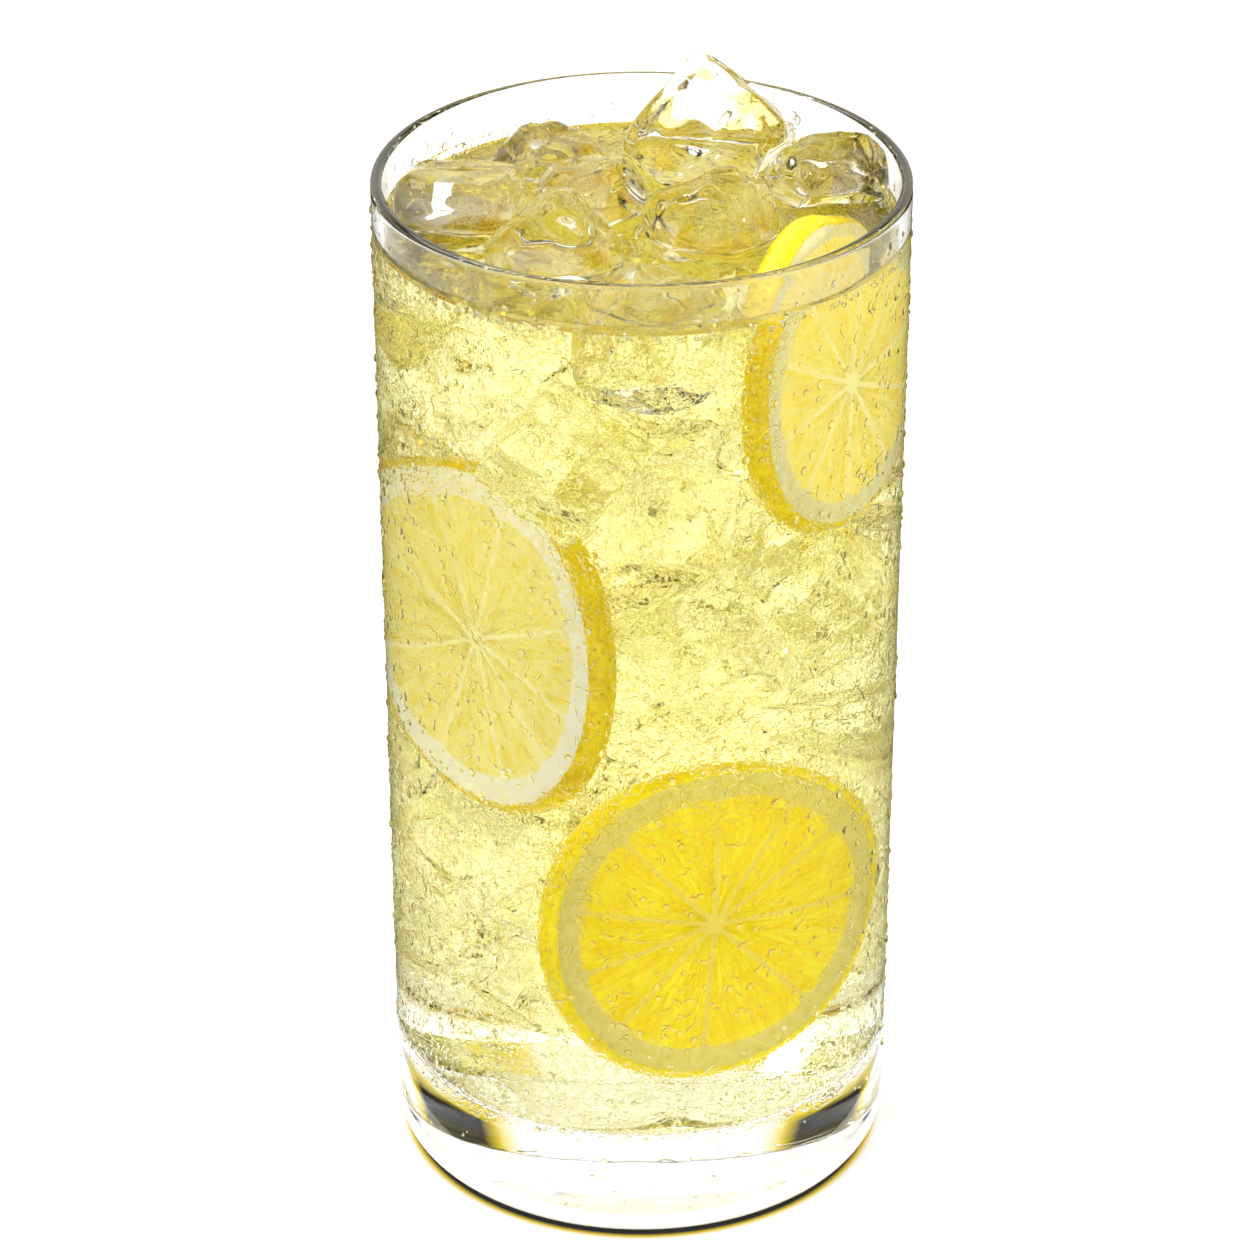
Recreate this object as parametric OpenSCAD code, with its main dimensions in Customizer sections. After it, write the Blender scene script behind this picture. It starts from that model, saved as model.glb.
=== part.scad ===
// A straight glass of lemonade with three lemon slices and ice, standing on its foot.
// Millimetres, +Z up, origin at the centre of the foot.

/* [Glass] */
// Height of the glass from foot to rim
glass_h = 151.5; // [120:0.5:190]
// Diameter across the rim
rim_d = 74; // [60:0.5:92]
// Diameter of the body just above its rounded heel
body_d = 72; // [59:0.5:90]
// Thickness of the wall
wall = 1.6; // [1.2:0.1:2.4]
// Thickness of the solid base at its middle
base_t = 16.5; // [10:0.5:22]
// Radius of the rounded heel
heel_r = 4.2; // [2:0.2:6]
// Radius of the corner between the wall and the inside floor
floor_corner_r = 2.5; // [1:0.5:5]
// Diameter of the shallow hollow under the base
punt_d = 50; // [30:1:52]
// Depth of that hollow
punt_h = 0.8; // [0.4:0.1:1.5]

/* [Drink] */
// Drop from the rim to the surface of the drink
headroom = 7.3; // [5:0.1:20]
// Height the drink climbs where it wets the wall
meniscus_h = 1.2; // [0.5:0.1:2]

/* [Lemon slices] */
// Thickness of a slice
slice_t = 5; // [3:0.5:7]
// Rounding of a slice's edge
rind_r = 1.4; // [0.5:0.1:1.5]
// Diameter of the low slice
low_d = 49.5; // [40:0.5:50.5]
// Height of the low slice's centre above the inside floor
low_rise = 30; // [28:0.5:34]
// Diameter of the left slice
left_d = 52.3; // [42:0.1:54]
// Height of the left slice's centre above the inside floor
left_rise = 71.5; // [70:0.5:76]
// Diameter of the right slice
right_d = 42.5; // [34:0.5:48]
// How far the right slice stands out of the drink
right_proud = 3.6; // [1:0.1:5]

/* [Ice] */
// How much the long edges of the ice are melted away
edge_melt = 1.2; // [0.6:0.1:1.3]
// How much its corners are melted away
corner_melt = 3; // [2.4:0.1:4]

/* [Hidden] */

// Clearance between a slice or an ice cube and the wall it leans on
lean_gap = 0.3;
// How much longer the cylinders that round a cube are than its diagonal
round_margin = 1.1;
// Number of steps in each rounded stretch of an outline
arc_steps = 8;
$fn = 96;

level = glass_h - headroom;

// Inside radius at the drink's surface for which the slices and the ice are laid out.
// They grow and shrink with the glass.
pile_reach = 35.3;
pile_scale = inner_r(level) / pile_reach;

// Each slice: diameter, height of its centre, bearing, lean back, and shift sideways along its face.
// A bearing of 0 faces -Y, and turns towards +X.
LOW_SLICE = [low_d * pile_scale, base_t + low_rise, 28.5, 8, -1.3];
LEFT_SLICE = [left_d * pile_scale, base_t + left_rise, -61, 5, -0.3];
RIGHT_SLICE = [right_d * pile_scale, level + right_proud - right_d * pile_scale / 2, 66, 5, 1];
SLICES = [LOW_SLICE, LEFT_SLICE, RIGHT_SLICE];

// Each cube: place from the middle of the drink's surface, turn, and size
ICE = [
    [[9.5, 21, 3.5], [-30, 34, -27], [18, 17.5, 18.5]],
    [[25.5, 9.5, 2.5], [-40, 9, 23], [14.5, 16.5, 9.5]],
    [[10, -1.5, 0], [-31, -28, -10], [16, 17, 12.5]],
    [[-25, 3.5, -3], [-10, 0, -8], [17, 17.5, 18]],
    [[-13, 20.5, -3.5], [5, 6, -31], [14, 14, 15]],
    [[-6.5, 5, -1], [-11, -1, 45], [12.5, 13.5, 15]],
    [[-12, -12, 0.5], [-18, -38, 12], [16, 14, 14.5]],
    [[1, -25, -5.5], [1, 3, -37], [15, 15, 16]],
];

// Outside and inside radius of the glass at height z
function outer_r(z) = body_d / 2 + (rim_d - body_d) / 2 * (z - heel_r) / (glass_h - heel_r);
function inner_r(z) = outer_r(z) - wall;

// Points of an arc about [x, z], from one angle to another
function arc(x, z, r, from, to) =
    [for (i = [0:arc_steps]) let (a = from + (to - from) * i / arc_steps) [x + r * cos(a), z + r * sin(a)]];

// The inside of the glass, from the middle of the floor up to height z
function inside_outline(z) = concat(
    [[0, base_t]],
    arc(inner_r(base_t) - floor_corner_r, base_t + floor_corner_r, floor_corner_r, -90, 0),
    [[inner_r(z), z]]);

// The hollow under the base: a shallow dome, from the axis out to its edge
function punt_outline() =
    [for (i = [0:arc_steps]) let (t = i / arc_steps) [t * punt_d / 2, punt_h * (1 - t * t)]];

// Distance from the axis to the face of a slice that leans on the wall with both edges
function setback(s) = cos(s[3])
    * sqrt(pow(inner_r(s[1] - s[0] / 2) - lean_gap, 2) - pow(s[0] / 2 + abs(s[4]), 2));

module glass() {
    color([0.93, 0.96, 0.96, 0.35])
        rotate_extrude()
            polygon(concat(
                punt_outline(),
                arc(outer_r(heel_r) - heel_r, heel_r, heel_r, -90, 0),
                arc(outer_r(glass_h) - wall / 2, glass_h - wall / 2, wall / 2, 0, 180),
                [for (i = [len(inside_outline(level)) - 2:-1:0]) inside_outline(level)[i]]));
}

// The space inside the glass, up to height z and a gap in from the wall
module inside(z, gap) {
    rotate_extrude()
        polygon([[0, base_t + gap], [inner_r(base_t) - gap, base_t + gap], [inner_r(z) - gap, z], [0, z]]);
}

// The drink fills the glass to its surface, which climbs a little at the wall
module drink_body() {
    rotate_extrude()
        polygon(concat(
            inside_outline(level + meniscus_h),
            [for (i = [1:arc_steps]) let (a = 90 * i / arc_steps)
                [inner_r(level) - meniscus_h * sin(a), level + meniscus_h * (1 - sin(a))]],
            [[0, level]]));
}

// A round slice: its face is at z = 0, its back is slice_t below
module slice_body(d) {
    rotate_extrude()
        polygon(concat(
            [[0, -slice_t]],
            arc(d / 2 - rind_r, -slice_t + rind_r, rind_r, -90, 0),
            arc(d / 2 - rind_r, -rind_r, rind_r, 0, 90),
            [[0, 0]]));
}

module slice(s) {
    rotate([0, 0, s[2]])
        translate([s[4], -setback(s), s[1]])
            rotate([90 - s[3], 0, 0])
                slice_body(s[0]);
}

// A melted cube: its edges and corners are cut back by round surfaces
module melted_cube(size) {
    reach = norm(size) * round_margin;
    intersection() {
        cube(size, center = true);
        cylinder(h = reach, r = norm([size[0], size[1]]) / 2 - edge_melt, center = true);
        rotate([90, 0, 0])
            cylinder(h = reach, r = norm([size[0], size[2]]) / 2 - edge_melt, center = true);
        rotate([0, 90, 0])
            cylinder(h = reach, r = norm([size[1], size[2]]) / 2 - edge_melt, center = true);
        sphere(r = norm(size) / 2 - corner_melt);
    }
}

module placed_cube(cube_row) {
    translate([0, 0, level])
        scale(pile_scale)
            translate(cube_row[0])
                rotate(cube_row[1])
                    melted_cube(cube_row[2]);
}

// One cube of the pile, kept off the wall and melted back where a slice lies against it
module ice(i) {
    color([0.88, 0.95, 0.98, 0.6])
        difference() {
            intersection() {
                placed_cube(ICE[i]);
                inside(level + rim_d, lean_gap);
            }
            for (s = SLICES)
                slice(s);
        }
}

module lemonade() {
    color([0.94, 0.9, 0.45, 0.7])
        difference() {
            drink_body();
            for (s = SLICES)
                slice(s);
            for (cube_row = ICE)
                placed_cube(cube_row);
        }
}

module lemon_slice(s) {
    color([0.98, 0.85, 0.15])
        slice(s);
}

glass();
lemonade();
lemon_slice(LOW_SLICE);  // lemon_slice_low
lemon_slice(LEFT_SLICE);  // lemon_slice_left
lemon_slice(RIGHT_SLICE);  // lemon_slice_right
ice(0);  // ice_1
ice(1);  // ice_2
ice(2);  // ice_3
ice(3);  // ice_4
ice(4);  // ice_5
ice(5);  // ice_6
ice(6);  // ice_7
ice(7);  // ice_8
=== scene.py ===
"""A glass of lemonade with lemon slices and ice: the looks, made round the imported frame. Metres, +Z up."""

import math
import random

import bmesh
import bpy
import numpy as np
from mathutils import Euler, Matrix, Vector, noise
from mathutils.bvhtree import BVHTree


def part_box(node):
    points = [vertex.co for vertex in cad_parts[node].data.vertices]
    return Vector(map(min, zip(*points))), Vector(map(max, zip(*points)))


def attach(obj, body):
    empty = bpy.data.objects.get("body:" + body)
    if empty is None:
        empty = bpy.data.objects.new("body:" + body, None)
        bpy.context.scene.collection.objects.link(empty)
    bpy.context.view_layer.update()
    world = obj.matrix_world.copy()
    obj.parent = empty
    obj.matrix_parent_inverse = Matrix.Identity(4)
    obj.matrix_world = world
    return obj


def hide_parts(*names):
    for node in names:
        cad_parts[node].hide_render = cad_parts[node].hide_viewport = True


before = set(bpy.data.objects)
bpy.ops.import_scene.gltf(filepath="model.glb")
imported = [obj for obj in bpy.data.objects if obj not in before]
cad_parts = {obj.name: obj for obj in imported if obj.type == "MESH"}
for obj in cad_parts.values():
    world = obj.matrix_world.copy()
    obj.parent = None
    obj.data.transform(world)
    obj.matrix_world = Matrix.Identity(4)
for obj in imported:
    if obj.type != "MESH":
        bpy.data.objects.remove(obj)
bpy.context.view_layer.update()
scene = bpy.context.scene

MM = 0.001
BODY = "root"

# ---------------------------------------------------------------- camera

CAMERA_AT = (-2.0 * MM, -644.7 * MM, 431.8 * MM)
CAMERA_DOWN_DEG = 28.54
CAMERA_LENS = 147.6


def add_camera():
    data = bpy.data.cameras.new("camera")
    data.lens = CAMERA_LENS
    data.sensor_width = 36
    data.clip_end = 50
    camera = bpy.data.objects.new("camera", data)
    camera.location = CAMERA_AT
    camera.rotation_euler = Euler((math.radians(90 - CAMERA_DOWN_DEG), 0, 0))
    scene.collection.objects.link(camera)
    scene.camera = camera


add_camera()

# ---------------------------------------------------------------- sizes from the frame

GLASS_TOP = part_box("glass")[1].z
RIM_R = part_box("glass")[1].x
BODY_R = 36 * MM
HEEL_R = 4.2 * MM
WALL = 1.6 * MM
FLOOR_CORNER_R = 2.5 * MM
PUNT_R = 25 * MM
PUNT_H = 0.8 * MM
FLOOR_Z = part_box("lemonade")[0].z
MENISCUS_H = 1.2 * MM
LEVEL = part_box("lemonade")[1].z - MENISCUS_H
# How far the drink reaches into the wall, so that no air gap shows
WALL_REACH = 0.15 * MM
SLICE_NODES = ("lemon_slice_low", "lemon_slice_left", "lemon_slice_right")
# How much of the damp there is on the wall in front of the slices
DAMP_ON_SLICES = 0.12
# How far the droplets reach into the wall
DROP_REACH = 0.03 * MM


def outer_r(z):
    return BODY_R + (RIM_R - BODY_R) * (z - HEEL_R) / (GLASS_TOP - HEEL_R)


def inner_r(z):
    return outer_r(z) - WALL


# ---------------------------------------------------------------- meshes

def new_piece(name, mesh, *materials):
    piece = bpy.data.objects.new(name, mesh)
    scene.collection.objects.link(piece)
    for mat in materials:
        mesh.materials.append(mat)
    return piece


def finish_piece(piece, slot, *nodes):
    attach(piece, BODY)
    if nodes:
        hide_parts(*nodes)


def mesh_from(name, points, faces, smooth=True):
    mesh = bpy.data.meshes.new(name)
    mesh.from_pydata([tuple(p) for p in points], [], faces)
    mesh.polygons.foreach_set("use_smooth", [smooth] * len(mesh.polygons))
    mesh.update()
    return mesh


def creased(mesh, angle=50):
    """Smooth shading, but with the real corners kept sharp."""
    mesh.set_sharp_from_angle(angle=math.radians(angle))
    return mesh


def held(outline, hold=0.6 * MM):
    """The outline with a point just inside each end of its long straight runs, to keep their shading flat."""
    out = [outline[0]]
    for a, b in zip(outline, outline[1:]):
        length = math.dist(a, b)
        if length > 4 * hold:
            out += [tuple(p + (q - p) * t for p, q in zip(a, b)) for t in (hold / length, 1 - hold / length)]
        out.append(b)
    return out


def arc(x, z, r, start, end, steps=12):
    turn = [math.radians(start + (end - start) * i / steps) for i in range(steps + 1)]
    return [(x + r * math.cos(a), z + r * math.sin(a)) for a in turn]


def lathe(name, outline, steps=240):
    """A closed surface turned round the axis. The outline starts and ends on the axis."""
    outline = held(outline)
    points = [(0, 0, outline[0][1])]
    for r, z in outline[1:-1]:
        points += [(r * math.cos(math.tau * i / steps), r * math.sin(math.tau * i / steps), z)
                   for i in range(steps)]
    points.append((0, 0, outline[-1][1]))
    faces = []
    rings = len(outline) - 2
    for i in range(steps):
        j = (i + 1) % steps
        faces.append((0, 1 + j, 1 + i))
        for k in range(rings - 1):
            a, b = 1 + k * steps, 1 + (k + 1) * steps
            faces.append((a + i, a + j, b + j, b + i))
        last = 1 + (rings - 1) * steps
        faces.append((len(points) - 1, last + i, last + j))
    return creased(mesh_from(name, points, faces))


def evaluated_mesh(piece):
    graph = bpy.context.evaluated_depsgraph_get()
    return bpy.data.meshes.new_from_object(piece.evaluated_get(graph))


# ---------------------------------------------------------------- materials

class Shader:
    """The nodes of a material or of the world, built up one by one."""

    def __init__(self, owner):
        owner.use_nodes = True
        self.owner = owner
        self.tree = owner.node_tree
        self.tree.nodes.clear()

    def add(self, kind, inputs=None, **settings):
        made = self.tree.nodes.new(kind)
        for key, value in settings.items():
            setattr(made, key, value)
        for key, value in (inputs or {}).items():
            if isinstance(value, bpy.types.NodeSocket):
                self.tree.links.new(value, made.inputs[key])
            else:
                made.inputs[key].default_value = value
        return made

    def noise(self, vector, scale, detail=3.0, roughness=0.5):
        return self.add("ShaderNodeTexNoise", {"Vector": vector, "Scale": scale, "Detail": detail,
                                               "Roughness": roughness}).outputs["Fac"]

    def ramp(self, value, *stops):
        made = self.add("ShaderNodeValToRGB", {"Fac": value})
        elements = made.color_ramp.elements
        while len(elements) < len(stops):
            elements.new(0.5)
        for element, (place, colour) in zip(elements, stops):
            element.position = place
            element.color = (*colour, 1) if len(colour) == 3 else colour
        return made.outputs["Color"]

    def maths(self, operation, a, b=0.0):
        return self.add("ShaderNodeMath", {0: a, 1: b}, operation=operation).outputs["Value"]

    def axis_distance(self, split):
        """How far from the axis of the glass the point is whose coordinates were split."""
        squares = [self.maths("POWER", split.outputs[axis], 2.0) for axis in "XY"]
        return self.maths("SQRT", self.maths("ADD", *squares))

    def map_range(self, value, low, high, start=0.0, end=1.0):
        """start at low, end at high, even in between, and held beyond."""
        return self.add("ShaderNodeMapRange", {"Value": value, "From Min": low, "From Max": high,
                                               "To Min": start, "To Max": end}).outputs["Result"]

    def band(self, value, low, high, soft):
        """1 between low and high, falling to 0 outside over a soft edge."""
        rise = self.map_range(value, low - soft, low + soft)
        fall = self.map_range(value, high + soft, high - soft)
        return self.maths("MULTIPLY", rise, fall)

    def band_deg(self, angle, span, soft):
        """The same for an angle, with the span in degrees and the soft edge in radians."""
        return self.band(angle, math.radians(span[0]), math.radians(span[1]), soft)

    def mix(self, share, a, b):
        values = {0: share, 6: a, 7: b}
        for key in (6, 7):
            if isinstance(values[key], tuple):
                values[key] = (*values[key], 1)
        return self.add("ShaderNodeMix", values, data_type="RGBA").outputs[2]

    def output(self, surface, volume=None):
        inputs = {"Surface": surface}
        if volume is not None:
            inputs["Volume"] = volume
        self.add("ShaderNodeOutputMaterial", inputs)
        return self.owner


def new_shader(name):
    return Shader(bpy.data.materials.new(name))


def clear_material(name, ior, tints, height, depth, absorb=None, tint_scale=60.0, shine=1.0,
                   tint_middle=0.5, tint_edge=0.08, marks=None):
    """Glass, water or ice. height(shader, coords) gives its surface relief, and depth how deep that is.

    absorb is the colour and density that colour light on its way through. shine below 1 weakens the
    mirroring, which a surface between glass and drink hardly has. marks(shader, coords) gives the share of
    the second tint. Without it the tints meet where a noise passes tint_middle, softly over tint_edge."""
    s = new_shader(name)
    coords = s.add("ShaderNodeTexCoord").outputs["Object"]
    if marks:
        tint = s.mix(marks(s, coords), *tints)
    else:
        tint = s.ramp(s.noise(coords, tint_scale, 1.5), (tint_middle - tint_edge, tints[0]),
                      (tint_middle + tint_edge, tints[1]))
    bump = s.add("ShaderNodeBump", {"Height": height(s, coords), "Distance": depth, "Strength": 1.0})
    bsdf = s.add("ShaderNodeBsdfPrincipled", {"Base Color": tint, "Roughness": 0.0, "IOR": ior,
                                              "Specular Tint": (shine, shine, shine, 1),
                                              "Transmission Weight": 1.0, "Normal": bump.outputs["Normal"]})
    volume = None
    if absorb:
        volume = s.add("ShaderNodeVolumeAbsorption", {"Color": (*absorb[0], 1), "Density": absorb[1]})
        volume = volume.outputs["Volume"]
    return s.output(bsdf.outputs["BSDF"], volume)


def damp_wall(s, coords):
    """1 on the outside of the wall beside the drink, less in front of the slices, and 0 elsewhere."""
    split = s.add("ShaderNodeSeparateXYZ", {0: coords})
    outside = s.maths("GREATER_THAN", s.axis_distance(split), BODY_R - WALL / 4)
    wet = s.maths("MULTIPLY", outside, s.band(split.outputs["Z"], FLOOR_Z, LEVEL, 1 * MM))
    for node in SLICE_NODES:
        low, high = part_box(node)
        away = s.add("ShaderNodeVectorMath", {0: coords, 1: (low + high) / 2}, operation="DISTANCE")
        radius = (high.z - low.z) / 2
        thin = s.map_range(away.outputs["Value"], radius * 0.95, radius * 1.15, DAMP_ON_SLICES, 1.0)
        wet = s.maths("MULTIPLY", wet, thin)
    return wet


def damp_edges_and_shade(s, coords):
    """The thin crooked edges of the film of damp: 1 on an edge. The glass raises them, and paints them a dull
    gold as painted shade.
    """
    fine = s.band(s.noise(coords, 620.0, 1.0), 0.475, 0.525, 0.012)
    wide = s.band(s.noise(coords, 330.0, 2.0), 0.485, 0.515, 0.01)
    some = s.ramp(s.noise(coords, 120.0, 1.0), (0.42, (0, 0, 0)), (0.55, (1, 1, 1)))
    edges = s.maths("MAXIMUM", s.maths("MULTIPLY", fine, some), wide)
    return s.maths("MULTIPLY", edges, damp_wall(s, coords))


def glass_relief(s, coords):
    """Fine beads of damp and the raised edges of its film."""
    bead = s.add("ShaderNodeTexVoronoi", {"Vector": coords, "Scale": 1100.0}).outputs["Distance"]
    bead = s.ramp(bead, (0.1, (1, 1, 1)), (0.42, (0, 0, 0)))
    where = s.ramp(s.noise(coords, 240.0, 2.0), (0.5, (0, 0, 0)), (0.6, (1, 1, 1)))
    slow = s.maths("MULTIPLY", s.noise(coords, 210.0, 2.0), 0.8)
    relief = s.maths("MULTIPLY", s.maths("ADD", s.maths("MULTIPLY", bead, where), slow), damp_wall(s, coords))
    return s.maths("ADD", relief, s.maths("MULTIPLY", damp_edges_and_shade(s, coords), 0.5))


def still_relief(s, coords):
    return s.noise(coords, 160.0, 2.0)


def ice_relief(s, coords):
    return s.maths("ADD", s.noise(coords, 150.0, 1.5), s.maths("MULTIPLY", s.noise(coords, 520.0, 2.0), 0.25))


WHITE = (1, 1, 1)
DRINK_TINTS = (WHITE, (0.99, 0.99, 0.96))
# The colour of the drink, and how dense it is per metre of the way through it
DRINK_ABSORB = ((0.93, 0.885, 0.2), 16.0)

# How a light ray bends: in air for the wall, the water and the ice on top, and in the drink for what is sunk
GLASS_IOR = 1.5
WATER_IOR = 1.33
ICE_IOR = 1.31
SUNK_ICE_IOR = 1.14
BUBBLE_IOR = 0.75

# Painted shade: the glass's second tint, a dull gold on the edges of the film of damp
glass_mat = clear_material("clear_glass", GLASS_IOR, (WHITE, (0.84, 0.77, 0.45)), glass_relief, 0.07 * MM,
                           marks=damp_edges_and_shade)
drink_mat = clear_material("lemonade", WATER_IOR, DRINK_TINTS, still_relief, 0.02 * MM, DRINK_ABSORB)
wet_glass_mat = clear_material("wet_glass", GLASS_IOR, (WHITE, (0.985, 0.995, 0.99)), still_relief,
                               0.01 * MM, shine=0.05)
wall_drink_mat = clear_material("lemonade_at_wall", WATER_IOR, DRINK_TINTS, still_relief, 0.01 * MM,
                                DRINK_ABSORB, shine=0.05)
# Painted reflection: gold patches in the ice above the drink, for the yellow drink below seen in it
ice_mat = clear_material("ice", ICE_IOR, (WHITE, (0.97, 0.82, 0.2)), ice_relief, 0.15 * MM,
                         tint_scale=150.0, tint_middle=0.58, tint_edge=0.03)
sunk_ice_mat = clear_material("sunk_ice", SUNK_ICE_IOR, (WHITE, (0.985, 0.985, 0.96)), ice_relief, 0.45 * MM)
water_mat = clear_material("water", WATER_IOR, (WHITE, (0.98, 0.99, 0.99)), still_relief, 0.01 * MM)
# Painted shade: a dark gold tint on the steep sides of each droplet and streak, for the dark rims that their
# bending of light shows
painted_rim_water_mat = clear_material("water_painted_rim", WATER_IOR, ((0.78, 0.68, 0.22), (0.42, 0.35, 0.1)),
                                still_relief, 0.01 * MM, tint_scale=900.0)
bubble_mat = clear_material("bubble", BUBBLE_IOR, (WHITE, (0.98, 0.98, 0.95)), still_relief, 0.01 * MM)

# ---------------------------------------------------------------- glass

def glass_outline():
    punt = [(PUNT_R * i / 8, PUNT_H * (1 - (i / 8) ** 2)) for i in range(9)]
    inside_corner = arc(inner_r(FLOOR_Z) - FLOOR_CORNER_R, FLOOR_Z + FLOOR_CORNER_R, FLOOR_CORNER_R, 0, -90)
    rim = arc(outer_r(GLASS_TOP) - WALL / 2, GLASS_TOP - WALL / 2, WALL / 2, 0, 180)
    heel = arc(outer_r(HEEL_R) - HEEL_R, HEEL_R, HEEL_R, -90, 0)
    waterline = [(inner_r(LEVEL), LEVEL)]
    return punt + heel + rim + waterline + inside_corner + [(0, FLOOR_Z)]


def mark_faces(mesh, index, chosen):
    """Give the material slot index to the faces whose centre is chosen."""
    for face in mesh.polygons:
        if chosen(face.center):
            face.material_index = index
    return mesh


def wetted(p):
    """On the inside of the glass, below the drink's surface."""
    return FLOOR_Z - 0.1 * MM < p.z < LEVEL and math.hypot(p.x, p.y) < inner_r(p.z) + WALL / 2


glass_mesh = mark_faces(lathe("glass_wall", glass_outline()), 1, wetted)
finish_piece(new_piece("glass_wall", glass_mesh, glass_mat, wet_glass_mat), "glass", "glass")

# ---------------------------------------------------------------- ice

ICE_VOXEL = 0.55 * MM
SUNK_VOXEL = 0.8 * MM
DENT = 1.1 * MM
DENT_WIDTH = 7 * MM
RIPPLE = 0.1 * MM
RIPPLE_WIDTH = 2.4 * MM
# Least distance of the ice from the inside of the wall
ICE_GAP = 0.1 * MM
# How far under the surface a cube is cut in two, for the part above and the part below
CUT_ABOVE = 0.05 * MM
CUT_BELOW = 0.15 * MM


def melted(mesh, seed, voxel):
    """An even, dense copy of a closed mesh with softened edges, dents and ripples."""
    piece = bpy.data.objects.new("melting", mesh.copy())
    scene.collection.objects.link(piece)
    remesh = piece.modifiers.new("remesh", "REMESH")
    remesh.mode = "VOXEL"
    remesh.voxel_size = voxel
    soften = piece.modifiers.new("soften", "SMOOTH")
    soften.iterations = 2
    soften.factor = 0.6
    made = evaluated_mesh(piece)
    bpy.data.objects.remove(piece)
    shift = Vector((seed * 1.7, seed * 0.9, seed * 2.3))
    normals = [v.normal.copy() for v in made.vertices]
    for v, normal in zip(made.vertices, normals):
        p = v.co / DENT_WIDTH + shift
        q = v.co / RIPPLE_WIDTH + shift
        step = DENT * (abs(noise.noise(p)) - 0.45) + RIPPLE * noise.noise(q)
        v.co += normal * step
        reach = math.hypot(v.co.x, v.co.y)
        limit = inner_r(v.co.z) - ICE_GAP
        if reach > limit:
            v.co.x *= limit / reach
            v.co.y *= limit / reach
    made.polygons.foreach_set("use_smooth", [True] * len(made.polygons))
    made.update()
    return made


def cut_mesh(mesh, z, keep_above):
    """The part of a closed mesh above or below a height, as a bmesh closed again with a flat cap."""
    made = bmesh.new()
    made.from_mesh(mesh)
    geometry = made.verts[:] + made.edges[:] + made.faces[:]
    result = bmesh.ops.bisect_plane(made, geom=geometry, plane_co=(0, 0, z), plane_no=(0, 0, 1),
                                    clear_inner=keep_above, clear_outer=not keep_above)
    edges = [g for g in result["geom_cut"] if isinstance(g, bmesh.types.BMEdge)]
    caps = bmesh.ops.contextual_create(made, geom=edges)["faces"]
    for cap in caps:
        cap.smooth = False
    bmesh.ops.triangulate(made, faces=caps)
    bmesh.ops.recalc_face_normals(made, faces=made.faces[:])
    return made


def waterline_cut(mesh):
    """One mesh of two closed shells: the ice above the drink, and with the second material the ice below."""
    above = cut_mesh(mesh, LEVEL - CUT_ABOVE, True)
    below = cut_mesh(mesh, LEVEL - CUT_BELOW, False)
    for face in below.faces:
        face.material_index = 1
    joined = bpy.data.meshes.new("ice")
    part = bpy.data.meshes.new("part")
    below.to_mesh(part)
    above.from_mesh(part)
    above.to_mesh(joined)
    above.free()
    below.free()
    bpy.data.meshes.remove(part)
    return joined


ice_meshes = []
for index in range(1, 9):
    node = f"ice_{index}"
    melted_cube = melted(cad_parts[node].data, index, ICE_VOXEL)
    ice_meshes.append(melted_cube)
    piece = new_piece(f"ice_cube_{index}", waterline_cut(melted_cube), ice_mat, sunk_ice_mat)
    finish_piece(piece, "ice", node)

# ---------------------------------------------------------------- sunk ice

# Each cube under the surface: place, turn in degrees, and size, in millimetres
SUNK_CUBES = [
    ((-10, -24, 121), (20, 35, -15), (16, 13, 15)),
    ((6, -20, 111), (-15, 20, 30), (16, 14, 14)),
    ((-23, 8, 118), (30, 10, 20), (17, 16, 16)),
    ((4, -4, 124), (40, 25, 10), (17, 17, 16)),
    ((4, 14, 119), (10, 40, 50), (17, 16, 16)),
    ((8, -14, 88), (25, -30, 15), (17, 15, 15)),
    ((18, -2, 90), (10, 30, -35), (16, 15, 16)),
    ((-2, 4, 100), (35, -10, 25), (18, 17, 16)),
    ((22, 16, 104), (15, 20, -10), (16, 16, 15)),
    ((-14, 18, 98), (-20, 30, 15), (17, 16, 16)),
    ((-3, 6, 76), (25, 20, -30), (17, 16, 15)),
    ((20, 12, 76), (-30, 15, 20), (16, 15, 15)),
    ((-22, -8, 52), (20, -25, 35), (16, 14, 15)),
    ((-10, 14, 58), (30, 25, 10), (17, 16, 16)),
    ((14, 12, 52), (-20, 35, -15), (17, 15, 16)),
    ((-14, -12, 34), (15, 30, 40), (14, 13, 13)),
    ((-21, 12, 30), (40, 20, 10), (14, 14, 13)),
    ((22, 8, 33), (25, -35, 30), (14, 13, 14)),
    ((2, 21, 31), (-30, 15, 45), (15, 14, 14)),
]


def block(place, turn, size):
    made = bmesh.new()
    bmesh.ops.create_cube(made, size=1.0)
    at = Matrix.Translation(Vector(place) * MM)
    spin = Euler([math.radians(a) for a in turn]).to_matrix().to_4x4()
    stretch = Matrix.Diagonal((*(Vector(size) * MM), 1))
    bmesh.ops.transform(made, matrix=at @ spin @ stretch, verts=made.verts[:])
    mesh = bpy.data.meshes.new("block")
    made.to_mesh(mesh)
    made.free()
    return mesh


def join_meshes(name, meshes):
    made = bmesh.new()
    for mesh in meshes:
        made.from_mesh(mesh)
    joined = bpy.data.meshes.new(name)
    made.to_mesh(joined)
    made.free()
    return joined


sunk = [melted(block(*row), seed, SUNK_VOXEL) for seed, row in enumerate(SUNK_CUBES, start=20)]
finish_piece(new_piece("sunk_ice", join_meshes("sunk_ice", sunk), sunk_ice_mat), "ice")

# ---------------------------------------------------------------- drink

# How high the drink climbs at a cube and how far from it, and the height and width of its slow swell
CUBE_CLIMB = 0.7 * MM
CUBE_CLIMB_REACH = 0.9 * MM
SWELL = 0.15 * MM
SWELL_WIDTH = 6 * MM


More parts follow.
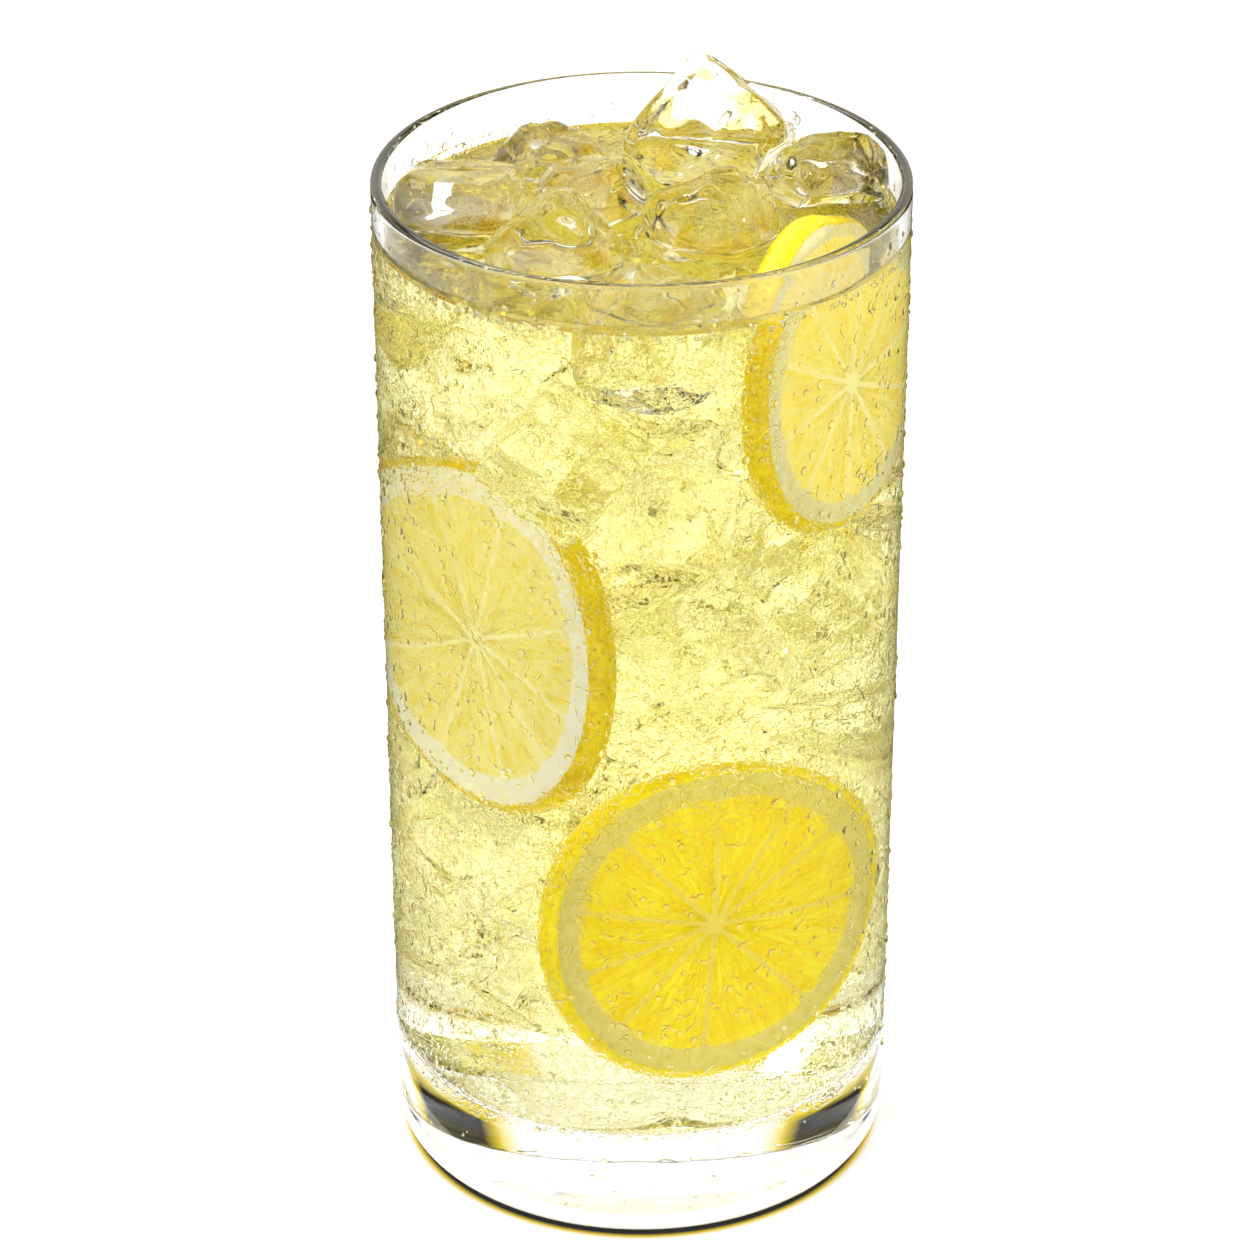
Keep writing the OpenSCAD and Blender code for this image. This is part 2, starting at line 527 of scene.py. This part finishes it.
def drink_mesh():
    """The drink fills the glass and climbs a little at the wall and round each cube."""
    cubes = [BVHTree.FromPolygons([v.co for v in m.vertices], [p.vertices for p in m.polygons])
             for m in ice_meshes]
    top_r = inner_r(LEVEL) + WALL_REACH
    side = [(0, FLOOR_Z - WALL_REACH)]
    side += [(r + WALL_REACH * 0.7, z - WALL_REACH * 0.7) for r, z in
             arc(inner_r(FLOOR_Z) - FLOOR_CORNER_R, FLOOR_Z + FLOOR_CORNER_R, FLOOR_CORNER_R, -90, 0)]
    side += [(top_r, LEVEL - 0.2 * MM), (top_r, LEVEL + MENISCUS_H)]
    climb = [(top_r - WALL_REACH - MENISCUS_H * math.sin(math.radians(a)),
              LEVEL + MENISCUS_H * (1 - math.sin(math.radians(a)))) for a in range(0, 91, 10)]
    rings = 70
    flat = [(climb[-1][0] * (1 - i / rings), LEVEL) for i in range(1, rings + 1)]
    mesh = lathe("lemonade", side + climb + flat, 256)
    for v in mesh.vertices:
        if v.co.z < LEVEL - 0.01 * MM or math.hypot(v.co.x, v.co.y) > climb[-1][0] + 0.01 * MM:
            continue
        near = min((tree.find_nearest(v.co)[3] or 1.0) for tree in cubes)
        v.co.z += (CUBE_CLIMB * math.exp(-near / CUBE_CLIMB_REACH)
                   + SWELL * noise.noise(v.co / SWELL_WIDTH))
    mesh.update()
    return mark_faces(mesh, 1, lambda p: p.z < LEVEL - 0.3 * MM)


finish_piece(new_piece("lemonade_drink", drink_mesh(), drink_mat, wall_drink_mat), "lemonade", "lemonade")

# ---------------------------------------------------------------- lemon slices

# Where the flesh ends and the peel starts, as shares of a slice's radius
FLESH_END = 0.8
PEEL_START = 0.935
MEMBRANE_HALF = 0.22 * MM
CORE_R = 1.5 * MM
SEGMENT_CORNER_R = 1.5 * MM
EDGE_ROUND = 1.2 * MM
# How far a cut face lies inside the CAD slice, so that its relief has room
FACE_DIP = 0.45 * MM


def smoothstep(low, high, x):
    t = np.clip((x - low) / (high - low), 0, 1)
    return t * t * (3 - 2 * t)


def wave(angle, seed, low, high):
    """A smooth uneven curve round the circle, between about -1 and 1."""
    rng = random.Random(seed)
    total = np.zeros_like(angle)
    for k in range(low, high):
        strength = math.sqrt(1 / (k - low + 1)) * rng.uniform(-1, 1)
        total += strength * np.cos(k * angle + rng.uniform(0, math.tau))
    return total / 1.6


def slice_frame(node):
    """Centre of the outward face, its axes (right, up, out), radius and thickness of a CAD slice."""
    points = np.array([v.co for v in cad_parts[node].data.vertices])
    middle = (points.min(0) + points.max(0)) / 2
    out = np.linalg.svd(points - points.mean(0), full_matrices=False)[2][2]
    if out[0] * middle[0] + out[1] * middle[1] < 0:
        out = -out
    along = (points - middle) @ out
    thick = along.max() - along.min()
    centre = middle + out * (along.max() + along.min()) / 2
    up = np.array((0, 0, 1)) - out * out[2]
    up /= np.linalg.norm(up)
    right = np.cross(up, out)
    around = points - centre
    radius = np.linalg.norm(around - np.outer(around @ out, out), axis=1).max()
    return centre + out * thick / 2, right, up, out, radius, thick


def segment_depth(radius, angle, share, edges, seed):
    """How far inside the flesh of a segment a point is. Below zero it is membrane, pith or core."""
    r = share * radius
    to_edge = np.full(angle.shape, 9.0)
    for edge in edges:
        gap = np.abs((angle - edge + math.pi) % math.tau - math.pi)
        to_edge = np.minimum(to_edge, np.where(gap < 1.2, np.sin(np.minimum(gap, 1.2)), 1.0))
    to_skin = to_edge * r - MEMBRANE_HALF
    to_pith = (FLESH_END + 0.012 * wave(angle, seed, 3, 9) - share) * radius
    to_core = r - CORE_R * (1 + 0.25 * wave(angle, seed + 2, 4, 12))
    pinch = np.maximum(SEGMENT_CORNER_R - to_skin, 0) ** 2 + np.maximum(SEGMENT_CORNER_R - to_pith, 0) ** 2
    rounded = SEGMENT_CORNER_R - np.sqrt(pinch)
    inside = np.where(rounded < SEGMENT_CORNER_R, rounded, np.minimum(to_skin, to_pith))
    return np.minimum(inside, to_core)


def slice_face(radius, angle, share, edges, seed):
    """Relief and flesh share over one cut face. share is 0 at the middle and 1 at the edge."""
    depth = segment_depth(radius, angle, share, edges, seed)
    flesh = smoothstep(-0.05 * MM, 0.25 * MM, depth)
    swell = smoothstep(0, 1.6 * MM, depth)
    sacs = np.sin(angle * 46 + 2.5 * np.sin(share * 17 + angle * 9))
    sacs = sacs * np.sin(share * 26 + 3 * np.sin(angle * 21))
    relief = 0.3 * MM * swell + 0.1 * MM * swell * sacs
    relief -= 0.12 * MM * smoothstep(0.8, 0.88, share) * (1 - smoothstep(0.9, 0.95, share))
    return relief, flesh


def lemon_mesh(name, node, seed, edges):
    """A slice as one closed surface, with the flesh share painted on and a map of angle and radius."""
    steps, front_rings, side_rings, back_rings = 480, 72, 11, 18
    centre, right, up, out, radius, thick = slice_frame(node)
    edges = [math.radians(e) for e in edges]
    angles = edges[0] + np.arange(steps) * math.tau / steps
    rim = 1 + 0.006 * wave(angles, seed + 3, 2, 7) - 0.006
    points, fleshes, spans = [], [], []

    def ring(share, depth, span, flesh=0.0, puff=0.0):
        reach = radius * share * rim + puff
        flat = np.outer(reach * np.cos(angles), right) + np.outer(reach * np.sin(angles), up)
        points.append(centre + flat - np.outer(depth * np.ones(steps), out))
        fleshes.append(flesh * np.ones(steps))
        spans.append(span)

    last_share = 1 - EDGE_ROUND / radius
    for k in range(1, front_rings + 1):
        share = (k / front_rings) ** 0.9 * last_share
        relief, flesh = slice_face(radius, angles, np.full(steps, share), edges, seed)
        ring(share, FACE_DIP - relief, share, flesh)
    for k in range(side_rings):
        t = (k + 0.5) / side_rings
        bulge = math.sin(math.pi * t) ** 0.5
        pits = 0.5 + 0.5 * np.sin(angles * 61 + 5 * math.sin(t * 9)) * np.sin(angles * 23 + t * 14)
        fine = 0.5 + 0.5 * np.sin(angles * 97 + t * 21)
        share = 1 - (1 - last_share) * (1 - bulge) * 0.9
        ring(share, FACE_DIP + (thick - 2 * FACE_DIP) * t, 1 + t * 0.2,
             puff=-0.14 * MM * pits - 0.08 * MM * fine)
    for k in range(back_rings, 0, -1):
        share = (k / back_rings) ** 0.9 * last_share
        relief, flesh = slice_face(radius, angles, np.full(steps, share), edges, seed)
        ring(share, thick - FACE_DIP + relief, share, flesh)
    rings = len(points)
    front_mid, back_mid = rings * steps, rings * steps + 1
    faces, maps = [], []
    for i in range(steps):
        j = (i + 1) % steps
        u, w = i / steps, (i + 1) / steps
        faces.append((front_mid, i, j))
        maps += [(u, 0), (u, spans[0]), (w, spans[0])]
        for k in range(rings - 1):
            a, b = k * steps, (k + 1) * steps
            faces.append((a + i, b + i, b + j, a + j))
            maps += [(u, spans[k]), (u, spans[k + 1]), (w, spans[k + 1]), (w, spans[k])]
        tail = (rings - 1) * steps
        faces.append((back_mid, tail + j, tail + i))
        maps += [(u, 0), (w, spans[-1]), (u, spans[-1])]
    middles = np.array([centre - out * FACE_DIP, centre - out * (thick - FACE_DIP)])
    mesh = mesh_from(name, np.vstack([*points, middles]), faces)
    chart = mesh.uv_layers.new(name="chart")
    chart.data.foreach_set("uv", np.array(maps, dtype=float).ravel())
    layer = mesh.attributes.new("flesh", "FLOAT", "POINT")
    layer.data.foreach_set("value", np.concatenate([*fleshes, np.zeros(2)]))
    return mesh


def lemon_material(name, look):
    """Moist fruit: flesh of long sacs between pale membranes, spongy pith, and oily peel with glands."""
    s = new_shader(name)
    coords = s.add("ShaderNodeTexCoord").outputs["Object"]
    chart = s.add("ShaderNodeUVMap", uv_map="chart").outputs["UV"]
    split = s.add("ShaderNodeSeparateXYZ", {0: chart})
    around, share = split.outputs["X"], split.outputs["Y"]
    flesh = s.add("ShaderNodeAttribute", attribute_name="flesh").outputs["Fac"]
    sway = s.maths("MULTIPLY", s.maths("SUBTRACT", s.noise(coords, 220.0, 2.0), 0.5), 1.6)
    long = s.add("ShaderNodeCombineXYZ", {
        0: s.maths("ADD", s.maths("MULTIPLY", around, 92.0), sway),
        1: s.maths("ADD", s.maths("MULTIPLY", share, 6.5), sway)}).outputs[0]
    sac = s.add("ShaderNodeTexVoronoi", {"Vector": long, "Scale": 1.0, "Randomness": 0.9},
                feature="DISTANCE_TO_EDGE").outputs["Distance"]
    shade = s.add("ShaderNodeTexVoronoi", {"Vector": long, "Scale": 1.0, "Randomness": 0.9}).outputs["Color"]
    shade = s.add("ShaderNodeSeparateXYZ", {0: shade}).outputs["X"]
    tone = s.maths("ADD", s.maths("MULTIPLY", shade, 0.55), s.maths("MULTIPLY", s.noise(coords, 420.0), 0.45))
    pulp = s.ramp(tone, (0.25, look["pulp"][0]), (0.75, look["pulp"][1]))
    seam = s.ramp(sac, (0.0, (1, 1, 1)), (0.16, (0, 0, 0)))
    pulp = s.mix(s.maths("MULTIPLY", seam, look["seam"]), pulp, look["seam_colour"])
    pith = s.ramp(s.noise(coords, 700.0, 4.0, 0.65), (0.3, look["pith"][0]), (0.65, look["pith"][1]))
    membrane = s.mix(s.maths("GREATER_THAN", share, FLESH_END - 0.03), look["membrane"], pith)
    inside = s.mix(flesh, membrane, pulp)
    glands = s.add("ShaderNodeCombineXYZ", {0: s.maths("MULTIPLY", around, 118.0),
                                            1: s.maths("MULTIPLY", share, 19.0)}).outputs[0]
    dot = s.add("ShaderNodeTexVoronoi", {"Vector": glands, "Scale": 1.0, "Randomness": 0.55})
    dot = dot.outputs["Distance"]
    gland = s.ramp(dot, (0.15, (1, 1, 1)), (0.5, (0, 0, 0)))
    edge = s.maths("ADD", share, s.maths("MULTIPLY", s.maths("SUBTRACT", dot, 0.4), -0.022))
    peel_share = s.map_range(edge, PEEL_START - 0.004, PEEL_START + 0.004)
    peel_tone = s.ramp(s.noise(coords, 260.0, 4.0, 0.6), (0.3, look["peel"][0]), (0.7, look["peel"][1]))
    peel = s.mix(s.maths("MULTIPLY", gland, 0.5), peel_tone, look["gland"])
    colour = s.mix(peel_share, inside, peel)
    lift = s.maths("ADD", s.maths("MULTIPLY", s.maths("MULTIPLY", s.maths("MINIMUM", sac, 0.3), flesh), 2.2),
                   s.maths("MULTIPLY", s.noise(coords, 1300.0, 3.0), 0.25))
    lift = s.maths("ADD", lift, s.maths("MULTIPLY", s.maths("MULTIPLY", dot, peel_share), 0.6))
    bump = s.add("ShaderNodeBump", {"Height": lift, "Distance": 0.28 * MM})
    rough = s.map_range(s.noise(coords, 500.0), 0.0, 1.0, 0.12, 0.4)
    # The emission is painted light: a glow that stands for the daylight coming through the fruit
    bsdf = s.add("ShaderNodeBsdfPrincipled", {
        "Base Color": colour, "Roughness": rough, "Normal": bump.outputs["Normal"],
        "Emission Color": colour, "Emission Strength": look["glow"]})
    return s.output(bsdf.outputs["BSDF"])


# Each slice: a seed, the bearings of its membranes in degrees, and its colours. The low slice's greyer pith
# is painted shade. Its glow is painted light that stands for the daylight that comes through the fruit
LEMONS = {
    "low": dict(seed=4, edges=(-52.6, -4.1, 31.6, 55.4, 85.0, 126.9, 163.0, 192.4, 223.0, 261.9), glow=0.5,
                pulp=((0.93, 0.68, 0.0), (1.0, 0.86, 0.02)), seam=0.5, seam_colour=(0.84, 0.58, 0.0),
                pith=((0.66, 0.56, 0.1), (0.78, 0.68, 0.2)), membrane=(0.8, 0.66, 0.1),
                peel=((0.86, 0.66, 0.0), (1.0, 0.84, 0.01)), gland=(0.7, 0.47, 0.0)),
    "left": dict(seed=11, edges=(24.7, 80.8, 116.0, 159.0, 212.0, 256.0, 290.5, 320.0, 346.0), glow=0.42,
                 pulp=((0.9, 0.74, 0.1), (0.97, 0.87, 0.28)), seam=0.35, seam_colour=(1.0, 0.95, 0.6),
                 pith=((0.9, 0.86, 0.6), (1.0, 0.98, 0.85)), membrane=(0.98, 0.92, 0.5),
                 peel=((0.74, 0.52, 0.0), (0.95, 0.75, 0.01)), gland=(0.58, 0.38, 0.0)),
    "right": dict(seed=23, edges=(8.0, 46.0, 79.0, 118.0, 150.0, 190.0, 226.0, 262.0, 295.0, 331.0), glow=0.5,
                  pulp=((0.97, 0.74, 0.06), (1.0, 0.86, 0.2)), seam=0.35, seam_colour=(1.0, 0.93, 0.42),
                  pith=((0.66, 0.62, 0.28), (0.84, 0.8, 0.45)), membrane=(0.98, 0.9, 0.42),
                  peel=((0.7, 0.5, 0.0), (0.98, 0.76, 0.01)), gland=(0.56, 0.37, 0.0)),
}
for side, look in LEMONS.items():
    mesh = lemon_mesh(f"lemon_{side}", f"lemon_slice_{side}", look["seed"], look["edges"])
    piece = new_piece(f"lemon_{side}", mesh, lemon_material(f"lemon_{side}", look))
    finish_piece(piece, "lemon", f"lemon_slice_{side}")

# ---------------------------------------------------------------- droplets and bubbles

DROPLETS = 5200
STREAKS = 1100
# Bubbles: round the surface, on the wall, and on the peel of each slice
SURFACE_BUBBLES = 420
WALL_BUBBLES = 1400
PEEL_BUBBLES = 130
# Drops of melt water on each cube
MELT_DROPS = 45
# Least and greatest radius, in millimetres
DROPLET_SIZES = (0.15, 0.6)
SURFACE_BUBBLE_SIZES = (0.15, 0.42)
WALL_BUBBLE_SIZES = (0.1, 0.26)
SMALL_SIZES = (0.12, 0.3)
# How many sides a droplet has, and the share of its width and height at each ring
DROPLET_SIDES = 9
DROPLET_RINGS = ((1.0, 0.0), (0.82, 0.6))
# Length of one step of a streak, and its outline across as shares of its width and height
STREAK_STEP = 0.32 * MM
STREAK_SECTION = ((-1.0, 0.0), (-0.6, 0.7), (0.0, 1.0), (0.6, 0.7), (1.0, 0.0))


def wall_point(bearing, z, side=0.0, up=0.0, rise=0.0):
    """A place on the outside of the wall, moved along it sideways and up, and out from it."""
    turn = bearing + side / BODY_R
    reach = outer_r(max(z, HEEL_R)) - DROP_REACH + rise
    return (reach * math.cos(turn), reach * math.sin(turn), z + up)


def dome(points, faces, spot):
    """A round cap on the outside wall, closed by a flat base just inside the glass."""
    bearing, z, wide, tall, thick = spot
    base = len(points)
    for share, rise in DROPLET_RINGS:
        for k in range(DROPLET_SIDES):
            a = math.tau * k / DROPLET_SIDES
            side, up = wide * share * math.cos(a), tall * share * math.sin(a)
            points.append(wall_point(bearing, z, side, up, rise * thick))
    points.append(wall_point(bearing, z, rise=thick))
    last = base + (len(DROPLET_RINGS) - 1) * DROPLET_SIDES
    top = last + DROPLET_SIDES
    for k in range(DROPLET_SIDES):
        j = (k + 1) % DROPLET_SIDES
        for a in range(base, last, DROPLET_SIDES):
            b = a + DROPLET_SIDES
            faces.append((a + k, a + j, b + j, b + k))
        faces.append((last + k, last + j, top))
    faces.append(tuple(base + k for k in reversed(range(DROPLET_SIDES))))


def droplet_spots(seed):
    """Places for droplets: crowded in some areas and sparse in others, few of them on the base."""
    rng = random.Random(seed)
    smallest, largest = DROPLET_SIZES
    spots = []
    while len(spots) < DROPLETS:
        bearing = rng.uniform(0, math.tau)
        z = rng.uniform(HEEL_R, LEVEL + 4 * MM)
        crowd = noise.noise(Vector((math.cos(bearing) * 4, math.sin(bearing) * 4, z / (9 * MM) + seed)))
        if crowd < rng.uniform(-0.8, 0.35) or (z < FLOOR_Z and rng.random() < 0.75):
            continue
        size = (smallest + (largest - smallest) * rng.random() ** 3) * MM
        tall = size * rng.uniform(0.85, 1.4)
        spots.append((bearing, z, size, tall, size * rng.uniform(0.55, 0.85)))
    return spots


def streak(points, faces, rng, bearing, z):
    """A short crooked run of water on the outside wall, closed all round."""
    steps = rng.randint(5, 10)
    heading = rng.uniform(0, math.tau)
    width = rng.uniform(0.16, 0.34) * MM
    side, up = 0.0, 0.0
    base, n = len(points), len(STREAK_SECTION)
    for i in range(steps + 1):
        taper = math.sin(math.pi * (i + 0.6) / (steps + 1.2)) ** 0.5
        across = heading + math.pi / 2
        for offset, rise in STREAK_SECTION:
            reach = offset * width * taper
            points.append(wall_point(bearing, z, side + reach * math.cos(across),
                                     up + reach * math.sin(across), rise * width * 0.8 * taper))
        heading += rng.uniform(-0.9, 0.9)
        side += STREAK_STEP * math.cos(heading)
        up += STREAK_STEP * math.sin(heading)
    for i in range(steps):
        a, b = base + i * n, base + (i + 1) * n
        for k in range(n):
            j = (k + 1) % n
            faces.append((a + k, b + k, b + j, a + j))
    faces.append(tuple(base + k for k in range(n)))
    faces.append(tuple(base + steps * n + k for k in reversed(range(n))))


def outward(mesh):
    """The same mesh with all its faces turned outwards."""
    made = bmesh.new()
    made.from_mesh(mesh)
    bmesh.ops.recalc_face_normals(made, faces=made.faces[:])
    made.to_mesh(mesh)
    made.free()
    return mesh


def steep_marked(mesh):
    """Give the second material, the painted dark gold rim of shade, to the faces that stand up steeply from
    the wall.
    """
    for face in mesh.polygons:
        away = Vector((face.center.x, face.center.y, 0)).normalized()
        if abs(face.normal @ away) < 0.8:
            face.material_index = 1
    return mesh


def damp_meshes():
    points, faces = [], []
    for spot in droplet_spots(7):
        dome(points, faces, spot)
    drops = steep_marked(creased(mesh_from("condensation", points, faces)))
    points, faces = [], []
    rng = random.Random(9)
    for _ in range(STREAKS):
        streak(points, faces, rng, rng.uniform(0, math.tau), rng.uniform(FLOOR_Z, LEVEL - 1 * MM))
    return drops, steep_marked(creased(outward(mesh_from("streaks", points, faces))))


condensation, streaks = damp_meshes()
finish_piece(new_piece("condensation", condensation, water_mat, painted_rim_water_mat), "water")
finish_piece(new_piece("water_streaks", streaks, water_mat, painted_rim_water_mat), "water")


def balls(name, spots, rings=4, around=7):
    """A mesh of small balls, one for each place and radius."""
    points, faces = [], []
    for place, r in spots:
        base = len(points)
        points.append((place[0], place[1], place[2] + r))
        for k in range(1, rings):
            tilt = math.pi * k / rings
            for i in range(around):
                a = math.tau * i / around
                points.append((place[0] + r * math.sin(tilt) * math.cos(a),
                               place[1] + r * math.sin(tilt) * math.sin(a), place[2] + r * math.cos(tilt)))
        points.append((place[0], place[1], place[2] - r))
        for i in range(around):
            j = (i + 1) % around
            faces.append((base, base + 1 + i, base + 1 + j))
            for k in range(rings - 2):
                a, b = base + 1 + k * around, base + 1 + (k + 1) * around
                faces.append((a + i, b + i, b + j, a + j))
            a = base + 1 + (rings - 2) * around
            faces.append((base + 1 + (rings - 1) * around, a + j, a + i))
    return mesh_from(name, points, faces)


def wall_bubble(rng, z, sizes):
    """Place and radius of a bubble that touches the inside of the wall at a height."""
    a, r = rng.uniform(0, math.tau), rng.uniform(*sizes) * MM
    reach = inner_r(z) - r - 0.05 * MM
    return ((reach * math.cos(a), reach * math.sin(a), z), r)


def surface_spots(rng, mesh, count, sizes, keep):
    """Places on the outside of a mesh, where keep(point) holds."""
    spots = []
    tries = 0
    while len(spots) < count and tries < count * 40:
        tries += 1
        v = mesh.vertices[rng.randrange(len(mesh.vertices))]
        if keep(v.co):
            r = rng.uniform(*sizes) * MM
            spots.append((v.co + v.normal * r * 0.3, r))
    return spots


def bubble_spots(seed):
    """Bubbles on the inside of the wall, a ring of them at the surface, and some on the slices' peel."""
    rng = random.Random(seed)
    spots = [wall_bubble(rng, LEVEL + rng.uniform(-1.3, -0.3) * MM, SURFACE_BUBBLE_SIZES)
             for _ in range(SURFACE_BUBBLES)]
    spots += [wall_bubble(rng, rng.uniform(FLOOR_Z + 1 * MM, LEVEL - 2 * MM), WALL_BUBBLE_SIZES)
              for _ in range(WALL_BUBBLES)]
    for side in LEMONS:
        centre, _, _, out, radius, _ = slice_frame(f"lemon_slice_{side}")

        def on_peel(p):
            away = np.array(p) - centre
            flat = away - out * (away @ out)
            return np.linalg.norm(flat) > radius * 0.97 and p.z < LEVEL - 1 * MM and (
                math.hypot(p.x, p.y) < inner_r(p.z) - 0.4 * MM)

        spots += surface_spots(rng, bpy.data.meshes[f"lemon_{side}"], PEEL_BUBBLES, SMALL_SIZES, on_peel)
    return spots


def melt_spots(seed):
    """Drops of melt water on the ice above the surface."""
    rng = random.Random(seed)
    spots = []
    for mesh in ice_meshes:
        spots += surface_spots(rng, mesh, MELT_DROPS, SMALL_SIZES, lambda p: p.z > LEVEL + 1.5 * MM)
    return spots


finish_piece(new_piece("bubbles", balls("bubbles", bubble_spots(5)), bubble_mat), "lemonade")
finish_piece(new_piece("melt_drops", balls("melt_drops", melt_spots(6)), water_mat), "water")

# ---------------------------------------------------------------- stage

TENT_LIGHT = 1.25
BACKDROP_TONE = (0.8, 0.8, 0.8)
# The panels, seen from the glass: how far round from straight behind and how high, in degrees.
# The gold shows as an edge round the dark core
PANEL_TONE, PANEL_BEARINGS, PANEL_RISES = (0.8, 0.64, 0.04), (25, 68), (27, 56)
CORE_TONE, CORE_BEARINGS, CORE_RISES = (0.02, 0.02, 0.02), (30, 61), (30.5, 50)
# The band at the horizon, and the dark line along its middle
HORIZON_TONE, HORIZON_RISES = (1.0, 0.9, 0.5), (-8, 6)
NIGHT_TONE, NIGHT_RISES = (0.12, 0.1, 0.02), (-2, 2)
FLOOR_R = 0.8
FLOOR_STEPS = 96
FLOOR_TONE = (0.72, 0.72, 0.72)
# Painted shade: a dark ring edged in gold on the floor under the heel, which the foot shows as its dark
# outline
PAINTED_SHADE_RING_TONE = (0.02, 0.02, 0.02)
PAINTED_GOLD_RING_TONE = (0.6, 0.45, 0.05)
# How bright the floor glows, and how bright under the glass. This glow is painted light that lifts the
# floor's shadows, more under the glass
FLOOR_GLOW = 0.55
UNDER_GLOW = 1.1
CARD_TONE = (0.05, 0.05, 0.035)
CARD_INNER_R = 45 * MM
CARD_OUTER_R = 600 * MM
CARD_Z = 1 * MM
# Each lamp: place and width in metres, and power in watts
LAMPS = {
    "softbox": ((-0.6, 0.5, 1.1), 0.6, 5.0),
    "spark_left": ((-0.5, -0.7, 0.75), 0.07, 2.0),
    "spark_right": ((0.65, -0.55, 0.6), 0.06, 1.5),
}
LAMP_TARGET = (0, 0, 0.07)


def ring_mesh(name, inner, outer, z, steps=64):
    turns = [math.tau * i / steps for i in range(steps)]
    points = [(r * math.cos(a), r * math.sin(a), z) for r in (inner, outer) for a in turns]
    faces = [(i, (i + 1) % steps, steps + (i + 1) % steps, steps + i) for i in range(steps)]
    return mesh_from(name, points, faces, False)


def shade_material(name, tone):
    """A plain matt surface, very slightly uneven."""
    s = new_shader(name)
    coords = s.add("ShaderNodeTexCoord").outputs["Object"]
    uneven = s.ramp(s.noise(coords, 3.0), (0.3, tone), (0.7, tuple(c * 1.01 for c in tone)))
    return s.output(s.add("ShaderNodeBsdfDiffuse", {"Color": uneven}).outputs["BSDF"])


def floor_material():
    """A pale floor whose glow is painted light, brighter under the glass, with a painted dark ring of shade,
    edged in gold, under the heel.
    """
    s = new_shader("floor")
    coords = s.add("ShaderNodeTexCoord").outputs["Object"]
    split = s.add("ShaderNodeSeparateXYZ", {0: coords})
    share = s.maths("DIVIDE", s.axis_distance(split), BODY_R)
    tone = s.ramp(share, (0.86, FLOOR_TONE), (0.89, PAINTED_GOLD_RING_TONE), (0.91, PAINTED_SHADE_RING_TONE),
                  (0.95, PAINTED_SHADE_RING_TONE), (0.97, PAINTED_GOLD_RING_TONE), (0.99, FLOOR_TONE))
    uneven = s.mix(s.maths("MULTIPLY", s.noise(coords, 3.0), 0.01), tone, WHITE)
    glow = s.map_range(share, 0.8, 0.9, UNDER_GLOW, FLOOR_GLOW)
    matt = s.add("ShaderNodeBsdfPrincipled", {"Base Color": uneven, "Roughness": 1.0, "IOR": 1.0,
                                              "Emission Color": uneven, "Emission Strength": glow})
    return s.output(matt.outputs["BSDF"])


def add_stage():
    turns = [math.tau * i / FLOOR_STEPS for i in range(FLOOR_STEPS)]
    points = [(FLOOR_R * math.cos(a), FLOOR_R * math.sin(a), 0) for a in turns]
    mesh = mesh_from("floor", points, [tuple(range(FLOOR_STEPS))], False)
    floor = new_piece("floor", mesh, floor_material())
    card = new_piece("mirror_card", ring_mesh("mirror_card", CARD_INNER_R, CARD_OUTER_R, CARD_Z),
                     shade_material("mirror_card", CARD_TONE))
    # Only mirrored in the glass: it keeps the white floor's glare off the wall
    card.visible_camera = card.visible_diffuse = card.visible_transmission = card.visible_shadow = False


def add_world():
    """A white tent with a gold-edged dark panel behind on either side, and a band at the horizon.

    The clear parts pick up their outlines from these. The camera itself sees a plain pale backdrop."""
    world = bpy.data.worlds.new("studio")
    scene.world = world
    s = Shader(world)
    way = s.add("ShaderNodeTexCoord").outputs["Generated"]
    split = s.add("ShaderNodeSeparateXYZ", {0: way})
    x, y, z = (split.outputs[k] for k in "XYZ")
    bearing = s.maths("ARCTAN2", s.maths("ABSOLUTE", x), y)
    rise = s.maths("ARCSINE", z)
    panel = s.maths("MULTIPLY", s.band_deg(bearing, PANEL_BEARINGS, 0.06),
                    s.band_deg(rise, PANEL_RISES, 0.03))
    core = s.maths("MULTIPLY", s.band_deg(bearing, CORE_BEARINGS, 0.05),
                   s.band_deg(rise, CORE_RISES, 0.02))
    horizon = s.band_deg(rise, HORIZON_RISES, 0.03)
    night = s.band_deg(rise, NIGHT_RISES, 0.015)
    colour = s.mix(panel, WHITE, PANEL_TONE)
    colour = s.mix(core, colour, CORE_TONE)
    colour = s.mix(horizon, colour, HORIZON_TONE)
    colour = s.mix(night, colour, NIGHT_TONE)
    plain = s.add("ShaderNodeLightPath").outputs["Is Camera Ray"]
    colour = s.mix(plain, colour, BACKDROP_TONE)
    back = s.add("ShaderNodeBackground", {"Color": colour, "Strength": TENT_LIGHT})
    s.add("ShaderNodeOutputWorld", {"Surface": back.outputs["Background"]})


def add_lamp(name, at, width, power):
    """A square lamp that faces the middle of the glass."""
    data = bpy.data.lights.new(name, "AREA")
    data.shape = "SQUARE"
    data.size = width
    data.energy = power
    lamp = bpy.data.objects.new(name, data)
    lamp.location = at
    lamp.rotation_euler = (Vector(LAMP_TARGET) - Vector(at)).to_track_quat("-Z", "Y").to_euler()
    scene.collection.objects.link(lamp)


add_stage()
add_world()
for lamp_name, lamp in LAMPS.items():
    add_lamp(lamp_name, *lamp)
scene.view_settings.view_transform = "Standard"
scene.cycles.max_bounces = 28
scene.cycles.transmission_bounces = 28
scene.cycles.transparent_max_bounces = 16
scene.cycles.adaptive_threshold = 0.2
